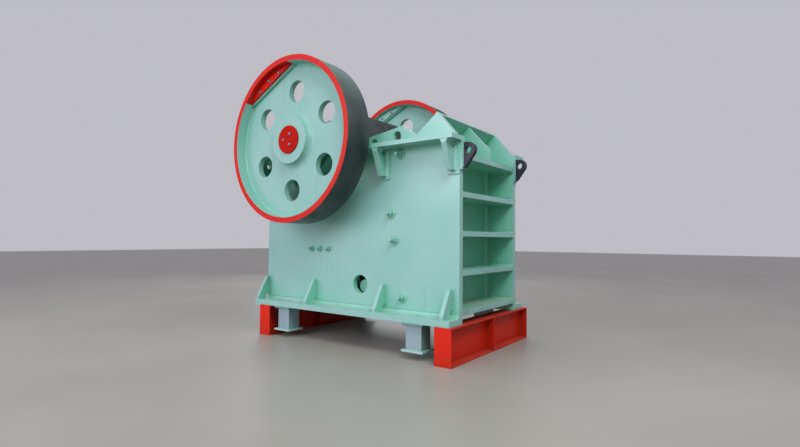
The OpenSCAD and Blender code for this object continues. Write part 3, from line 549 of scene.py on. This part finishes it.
def turned_steel(name, colour, rough):
    """Machined steel: fine turning marks, a thin film of oil and a little rust bloom."""
    paint = Paint(name)
    marks = paint.noise(scale=420.0, detail=3.0, stretch=(1.0, 0.04, 1.0))
    film = paint.patches(scale=3.4, detail=5.0, low=0.35, high=0.7)
    rust = paint.patches(scale=17.0, detail=8.0, low=0.60, high=0.76, rough=0.72)
    shade = paint.mix(paint.times(film, 0.35), colour, linear(92, 88, 80))
    shade = paint.mix(paint.times(rust, 0.35), shade, linear(112, 66, 38))
    rough = paint.math("ADD", rough, paint.times(film, 0.18))
    rough = paint.math("ADD", rough, paint.times(rust, 0.3), clamp=True)
    skin = paint.bump(marks, strength=0.12, distance=0.0004, normal=paint.bevel(0.002))
    return paint.finish(shade, rough, 0.9, skin)


mint = enamel(Paint("mint_enamel"), MINT, dust=0.34, grime_and_shade=0.42)
# Bolts: darker mint and strong corner darkening, as painted shade on nuts and washers
bolt_mint = enamel(Paint("bolt_enamel"), SHADED_BOLT_MINT, dust=0.2, grime_and_shade=0.8, edge=0.002)
cap_red = enamel(Paint("cap_enamel"), CAP_RED, dust=0.05, grime_and_shade=0.3, edge=0.003,
                 coat=0.0, pale=PALE_RED, specular=0.07)
beam_red = enamel(Paint("beam_enamel"), ORANGE_RED, rough=0.38, dust=0.10, grime_and_shade=0.5, chips=0.6,
                  coat=0.02, pale=PALE_RED, specular=0.2)
dark = enamel(Paint("dark_enamel"), SLATE, rough=0.34, dust=0.12, grime_and_shade=0.3, chips=0.35,
              coat=0.0, pale=PALE_SLATE, specular=0.3)
guard_dark = enamel(Paint("guard_enamel"), GUARD_GREY, rough=0.38, dust=0.18, grime_and_shade=0.3, chips=0.3,
                    coat=0.02, specular=0.28)
wheel = wheel_paint("wheel_enamel")
weight = weight_paint("counterweight_enamel")
foot_blue = foot_paint("foot_enamel")
rib_mint = rib_paint("rib_enamel")
manganese = casting("manganese_casting")
steel = turned_steel("turned_steel", linear(150, 154, 160), rough=0.28)
zinc = turned_steel("zinc_bolts", linear(132, 150, 168), rough=0.32)

# Paint of the CAD nodes by how their names start; the rest is mint
NODE_PAINTS = {
    "front_beam": beam_red, "rear_beam": beam_red, "foot_": foot_blue, "front_rib": rib_mint,
    "lifting_lug": dark, "jaw_guard": guard_dark, "toggle_plate": dark, "toggle_seat": manganese,
    "fixed_jaw_plate": manganese, "moving_jaw_plate": manganese, "cheek_plates": manganese,
    "tension_rods": steel, "disc_springs": steel, "eccentric_shaft": steel,
    "flywheel": wheel, "counterweights": weight, "end_cap": cap_red,
}


def paint_nodes():
    for name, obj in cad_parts.items():
        found = [paint for start, paint in NODE_PAINTS.items() if name.startswith(start)]
        obj.data.materials.clear()
        obj.data.materials.append(found[0] if found else mint)


# Bolts

LARGE_BOLTS = [(-935, 2734), (-1089, 1918), (-1029, 1546), (-887, 760)]
SMALL_BOLTS = [(-2643, 1411), (-2468, 1411), (-2286, 1411)]


def side_bolts(word, side):
    """The bolts of a side plate: large ones for the cheek plates, small ones for the toggle beam."""
    shape = Shape()
    out = (0, side, 0)
    for x, z in LARGE_BOLTS:
        fastener(shape, point(x, side * OUTER_Y, z), out, 50, plate=144, reach=62, thick=14)
    for x, z in SMALL_BOLTS:
        fastener(shape, point(x, side * OUTER_Y, z), out, 40, plate=108, reach=48, thick=10)
    shape.make(f"side_bolts_{word}", "frame", bolt_mint)


def cheek_bolt_heads():
    """The large bolts' round heads inside the chamber, sunk one millimetre into the cheek plates."""
    shape = Shape()
    profile = [(46, 0), (46, 5), (40, 9), (18, 9), (16, 4)]
    for side in SIDES.values():
        for x, z in LARGE_BOLTS:
            lathe(shape, point(x, side * (CHEEK_FACE_Y + 1), z), (0, -side, 0), profile, seg=32)
    shape.make("cheek_bolt_heads", "frame", manganese)


def foot_bolts():
    """Bolts that hold the feet's top plates under the base flanges."""
    shape = Shape()
    bolt_x, bolt_y = 143, 130
    for x in FOOT_XS:
        for side in SIDES.values():
            for dx in (-bolt_x, bolt_x):
                for dy in (-bolt_y, bolt_y):
                    place = point(x + dx, side * FOOT_Y + dy, FOOT_TOP_Z - FOOT_PLATE_T)
                    bolt_head(shape, place, (0, 0, -1), 20, plate=36)
    shape.make("foot_bolts", "frame", zinc)


def wheel_bolts(word, side):
    """The bolts of a hub cap, and those of the counterweights on both faces of a wheel."""
    shape = Shape()
    cap_bolt_r, weight_bolt_r, weight_bolt_step = 88, 1075, 13
    for angle in (60, 180, 300):
        bolt_head(shape, shaft_point(cap_bolt_r, angle, side * CAP_FACE_Y), (0, side, 0), 24)
    for step in (-1, 0, 1):
        for face in (-1, 1):
            angle = WEIGHT_ANGLE + step * weight_bolt_step
            place = shaft_point(weight_bolt_r, angle, side * WHEEL_MID_Y + face * WEIGHT_HALF_W)
            bolt_head(shape, place, (0, face, 0), 24, plate=44)
    shape.make(f"wheel_bolts_{word}", "rotor", zinc)


def toggle_covers():
    """Round covers on the swing jaw that keep the toggle plate from sliding out, with two bolts each."""
    shape = Shape()
    cover_x, cover_z, cover_r = -1668, 868, 94
    sunk, thick, bevel = 7, 16, 5
    profile = [(cover_r, 0), (cover_r, thick - bevel), (cover_r - bevel, thick)]
    for side in SIDES.values():
        out = (0, side, 0)
        base_y = side * (JAW_SIDE_Y - sunk)
        top_y = side * (JAW_SIDE_Y - sunk + thick)
        lathe(shape, point(cover_x, base_y, cover_z), out, profile, seg=48, smooth=False)
        for dx, dz in ((60, 44), (66, -36)):
            bolt_head(shape, point(cover_x + dx, top_y, cover_z + dz), out, 16)
    shape.make("toggle_covers", "jaw", bolt_mint)


def guard_bolts():
    """Round bolt heads in one row near the guard's top edge."""
    shape = Shape()
    row_up, face_out, pitch = 3003, 50, 340
    out = (math.cos(FACE_TILT), 0, math.sin(FACE_TILT))
    for step in range(-2, 3):
        origin = jaw_point(row_up, face_out, step * pitch)
        lathe(shape, origin, out, [(27, 0), (27, 3), (23, 9), (10, 12)], seg=28)
    shape.make("guard_bolts", "jaw", guard_dark)


def housing_bolts(word, side):
    """A bearing housing's studs through its lugs, and the screws round its outer seal."""
    shape = Shape()
    stud_x, stud_ys, stud_z = 485, (872, 1066), 3005
    screw_n, screw_r = 10, 330
    for dx in (-stud_x, stud_x):
        for y in stud_ys:
            fastener(shape, point(SHAFT_X + dx, side * y, stud_z), (0, 0, 1), 56, plate=120, reach=60)
    for i in range(screw_n):
        place = shaft_point(screw_r, (i + 0.5) * 360 / screw_n, side * HOUSING_FACE_Y)
        bolt_head(shape, place, (0, side, 0), 20, plate=36)
    shape.make(f"housing_bolts_{word}", "frame", mint)


# Weld beads of the frame


def rib_welds():
    """Beads over and under the front ribs, where they meet the front wall."""
    shape = Shape()
    end_y = INNER_Y - 80
    for top in RIB_TOPS:
        for z, v in ((top, Z), (top - RIB_T, -Z)):
            weld(shape, point(RIB_BACK_X, -end_y, z), point(RIB_BACK_X, end_y, z), X, v, 16)
    shape.make("rib_welds", "frame", mint)


def gusset_welds():
    """Beads along both sides of the feed lip's gusset, on the top rib."""
    shape = Shape()
    for side in SIDES.values():
        y, z = side * LIP_GUSSET_Y, RIB_TOPS[0]
        weld(shape, point(0, y, z), point(RIB_BACK_X, y, z), Y * side, Z, 12)
    shape.make("gusset_welds", "frame", mint)


def bearing_flange_beads(shape, side):
    """Long beads under and over a bearing flange. They stop short of the housing's saddle."""
    out, y = Y * side, side * OUTER_Y
    front_x = NOSE_X - 5
    behind_saddle_x, before_saddle_x, shoulder_rear_x = -2960, -1960, -1860
    for x0, x1 in ((REAR_X, behind_saddle_x), (before_saddle_x, front_x)):
        weld(shape, point(x0, y, FLANGE_UNDER_Z), point(x1, y, FLANGE_UNDER_Z), out, -Z, 14)
    weld(shape, point(shoulder_rear_x, y, SHOULDER_Z), point(front_x, y, SHOULDER_Z), out, Z, 12)


def bracket_beads(shape, side):
    """Beads below the brackets, and round the pads behind them."""
    out, y = Y * side, side * OUTER_Y
    bracket_t, bracket_h = 70, 380
    pad_t, pad_out, pad_rear = 20, 58, 32
    bracket_low_z = FLANGE_UNDER_Z - bracket_h
    for x1 in (-60, -1165, -2970, REAR_X + bracket_t):
        x0 = x1 - bracket_t
        pad_y = y + side * pad_t
        rear = max(x0 - pad_rear, REAR_X)
        ahead = x1 + pad_out
        weld(shape, point(x0, pad_y, bracket_low_z), point(x1, pad_y, bracket_low_z), out, -Z, 6)
        weld(shape, point(rear, y, PAD_LOW_Z), point(ahead, y, PAD_LOW_Z), out, -Z, 6)
        weld(shape, point(ahead, y, PAD_LOW_Z), point(ahead, y, FLANGE_UNDER_Z), out, X, 6)
        if rear > REAR_X:
            weld(shape, point(rear, y, PAD_LOW_Z), point(rear, y, FLANGE_UNDER_Z), out, -X, 6)


def lug_beads(shape, side):
    """Upright beads on both sides of a lifting lug's foot."""
    for edge, away in ((LUG_OUT_Y, 1), (LUG_IN_Y, -1)):
        low, top = point(NOSE_X, side * edge, LUG_LOW_Z + 2), point(NOSE_X, side * edge, LUG_TOP_Z - 1)
        weld(shape, low, top, Y * side * away, X, 10)


def gusset_beads(shape, side):
    """Beads along both faces of the base flange's gussets, upright and level. They start beyond the cove."""
    out, y = Y * side, side * OUTER_Y
    gusset_t = 60
    cove, toe = 102, 232
    top_z = GUSSET_TOP_Z - 5
    for x1 in (-97, -1175, -2530, REAR_X + gusset_t):
        for x, u in ((x1 - gusset_t, -X), (x1, X)):
            if x > REAR_X:
                weld(shape, point(x, y, BASE_TOP_Z + cove), point(x, y, top_z), u, out, 7)
                start, end = point(x, y + side * cove, BASE_TOP_Z), point(x, y + side * toe, BASE_TOP_Z)
                weld(shape, start, end, u, Z, 8)


def flange_welds(word, side):
    """All beads on the outer face of a side plate."""
    shape = Shape()
    bearing_flange_beads(shape, side)
    bracket_beads(shape, side)
    lug_beads(shape, side)
    gusset_beads(shape, side)
    shape.make(f"flange_welds_{word}", "frame", mint)


def beam_welds():
    """Beads in the four inner corners of each support beam, between its end plates."""
    shape = Shape()
    flange_t, web_in, web_t, end_in = 15, 110, 20, 13
    for x0 in BEAM_XS:
        for z, v in ((BEAM_LOW_Z + flange_t, Z), (BEAM_TOP_Z - flange_t, -Z)):
            for x, u in ((x0 + web_in, -X), (x0 + web_in + web_t, X)):
                weld(shape, point(x, BEAM_LEFT_Y + end_in, z), point(x, BEAM_RIGHT_Y - end_in, z), u, v, 8)
    shape.make("beam_welds", "frame", beam_red)


def foot_welds():
    """Beads round both ends of the feet's tubes. They stop short of the tubes' corners."""
    shape = Shape()
    half_w, half_d, corner = FOOT_W / 2, FOOT_D / 2, 7.5
    ends = ((FOOT_LOW_Z + FOOT_PLATE_T, Z), (FOOT_TOP_Z - FOOT_PLATE_T, -Z))
    for foot_x in FOOT_XS:
        for side in SIDES.values():
            for z, v in ends:
                for dx, dy in ((1, 0), (-1, 0), (0, 1), (0, -1)):
                    x, y = foot_x + dx * half_w, side * FOOT_Y + dy * half_d
                    run_x, run_y = dy * (half_w - corner), dx * (half_d - corner)
                    weld(shape, point(x - run_x, y - run_y, z), point(x + run_x, y + run_y, z),
                         Vector((dx, dy, 0)), v, 8)
    shape.make("foot_welds", "frame", foot_blue)


# Studio


def studio_floor():
    """A wide pale floor with a soft shine."""
    half = 60
    mesh = bpy.data.meshes.new("studio_floor")
    corners = [(-half, -half, 0), (half, -half, 0), (half, half, 0), (-half, half, 0)]
    mesh.from_pydata(corners, [], [(0, 1, 2, 3)])
    obj = bpy.data.objects.new("studio_floor", mesh)
    bpy.context.scene.collection.objects.link(obj)
    paint = Paint("pale_floor")
    cloud = paint.patches(scale=0.35, detail=6.0, low=0.35, high=0.7)
    shade = paint.mix(cloud, linear(149, 145, 139), linear(161, 156, 150))
    obj.data.materials.append(paint.finish(shade, 0.40, 0.0, paint.normal, specular=0.35))


def area(name, place, target, size, power, colour=(1, 1, 1)):
    """A lamp of a size in metres and a power in watts that looks at a target."""
    data = bpy.data.lights.new(name, "AREA")
    data.shape = "RECTANGLE"
    data.size, data.size_y = size
    data.energy = power
    data.color = colour
    obj = bpy.data.objects.new(name, data)
    bpy.context.scene.collection.objects.link(obj)
    obj.location = place
    obj.rotation_mode = "QUATERNION"
    obj.rotation_quaternion = (Vector(target) - Vector(place)).to_track_quat("-Z", "Y")
    return obj


def hall_light():
    """Soft light that is brighter from the left and above; the eye and gloss see a plain pale backdrop."""
    world = bpy.data.worlds.new("studio_world")
    bpy.context.scene.world = world
    tree = Tree(world)
    brightest_from = (-0.30, -0.80, 0.52)
    backdrop_level = 0.55
    towards = tree.vector("DOT_PRODUCT", tree.add("TexCoord", {})["Generated"], brightest_from)
    level = {"Value": towards, "From Min": -0.7, "From Max": 0.9, "To Min": 0.10, "To Max": 0.75}
    hall_level = tree.add("MapRange", level)[0]
    path = tree.add("LightPath", {})
    seen = path["Is Camera Ray"]
    for ray in ("Is Glossy Ray", "Is Transmission Ray"):
        seen = tree.math("MAXIMUM", seen, path[ray])
    strength = tree.add("Mix", {0: seen, 2: hall_level, 3: backdrop_level}, data_type="FLOAT")[0]
    background = tree.nodes["Background"]
    background.inputs["Color"].default_value = (0.93, 0.93, 1.0, 1)
    tree.links.new(strength, background.inputs["Strength"])


def studio():
    """Floor, hall light and lamps. The gloss lamp only shows in reflections and the low fill never does."""
    studio_floor()
    hall_light()
    area("skylight", (7.0, -5.0, 8.5), (1, 0, 1.5), (5, 4), power=680, colour=(0.90, 1.0, 0.94))
    area("window", (-1.2, -14.0, 6.0), (0, 0, 1.7), (9, 6), power=830, colour=(1.0, 0.92, 1.0))
    gloss = area("gloss", (-5.4, -9.5, 5.5), (0.2, -1.0, 2.7), (4.0, 5.5), power=90, colour=(0.98, 0.93, 1.0))
    gloss.visible_diffuse = False
    low = area("low_fill", (-6.5, -7.5, 1.6), (-1.2, -0.9, 1.5), (3, 3), power=100, colour=(1.0, 0.94, 1.0))
    low.visible_glossy = False
    area("rear_fill", (-8.0, 9.0, 6.5), (0, 0, 1.8), (8, 6), power=420)


def photo_camera():
    """The camera solved from the photo's edges. Its place is in metres from the frame's front plane."""
    yaw, pitch, roll = math.radians(35.987), math.radians(1.887), math.radians(0.3975)
    place = (3.0175 + FRONT_X, -6.3301, 1.5585)
    ahead = Vector((-math.sin(yaw) * math.cos(pitch), math.cos(yaw) * math.cos(pitch), math.sin(pitch)))
    right = Vector((math.cos(yaw), math.sin(yaw), 0))
    up = right.cross(ahead)
    side = right * math.cos(roll) + up * math.sin(roll)
    top = up * math.cos(roll) - right * math.sin(roll)
    data = bpy.data.cameras.new("photo_camera")
    data.lens = 21.94
    data.sensor_width = 36
    data.clip_end = 200
    obj = bpy.data.objects.new("photo_camera", data)
    bpy.context.scene.collection.objects.link(obj)
    spin = Matrix((side, top, -ahead)).transposed().to_4x4()
    obj.matrix_world = Matrix.Translation(place) @ spin
    bpy.context.scene.camera = obj


def on_both_sides(piece):
    """Makes a piece on the left and on the right."""
    for word, side in SIDES.items():
        piece(word, side)


paint_nodes()
on_both_sides(side_bolts)
cheek_bolt_heads()
foot_bolts()
on_both_sides(wheel_bolts)
toggle_covers()
guard_bolts()
on_both_sides(housing_bolts)
rib_welds()
gusset_welds()
on_both_sides(flange_welds)
beam_welds()
foot_welds()
studio()
photo_camera()
bpy.context.scene.view_settings.view_transform = "Standard"
